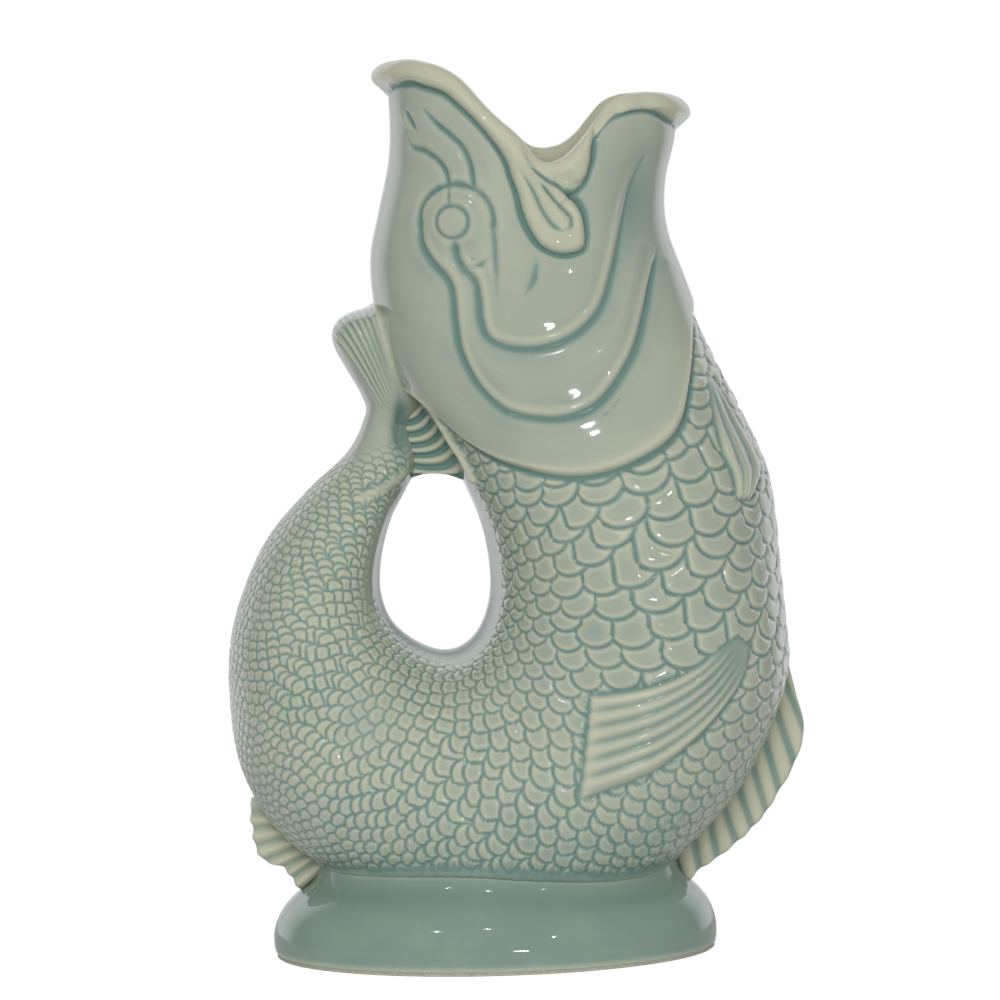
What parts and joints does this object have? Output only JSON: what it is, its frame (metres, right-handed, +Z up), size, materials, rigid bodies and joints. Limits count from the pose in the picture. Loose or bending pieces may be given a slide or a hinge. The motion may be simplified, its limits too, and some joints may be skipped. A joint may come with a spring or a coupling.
{
  "type": "gurgle jug",
  "caption": "Glazed ceramic pitcher in the shape of a fish on an oval foot, with an open mouth as spout and a hollow curled tail as handle that makes it gurgle.",
  "frame": {"origin": "centre of the foot's underside, on the table", "axes": "+Z up through the mouth, +X towards the fish's throat and belly, -X towards the tail that is the handle, Y across the fish"},
  "size_m": [0.161, 0.0978, 0.2495],
  "materials": {
    "celadon_glaze": "glossy",
    "pale_glaze": "glossy",
    "foot_glaze": "glossy",
    "dry_clay": "matte"
  },
  "bodies": {
    "root": {"foot_ring": "dry_clay", "foot": "foot_glaze", "belly_shell": "celadon_glaze", "chest_shell": "celadon_glaze", "tail_shell": "celadon_glaze", "tail_fin": "celadon_glaze", "head_shell": "celadon_glaze", "upper_lip": "pale_glaze", "lower_lip": "pale_glaze", "gill_cover_left": "celadon_glaze", "gill_cover_right": "celadon_glaze", "eye_left": "celadon_glaze", "eye_right": "celadon_glaze", "back_fin": "pale_glaze", "belly_fin": "pale_glaze", "anal_fin": "pale_glaze", "pectoral_fin_left": "celadon_glaze", "pectoral_fin_right": "celadon_glaze", "pelvic_fin_left": "celadon_glaze", "pelvic_fin_right": "celadon_glaze"}
  },
  "joints": []
}
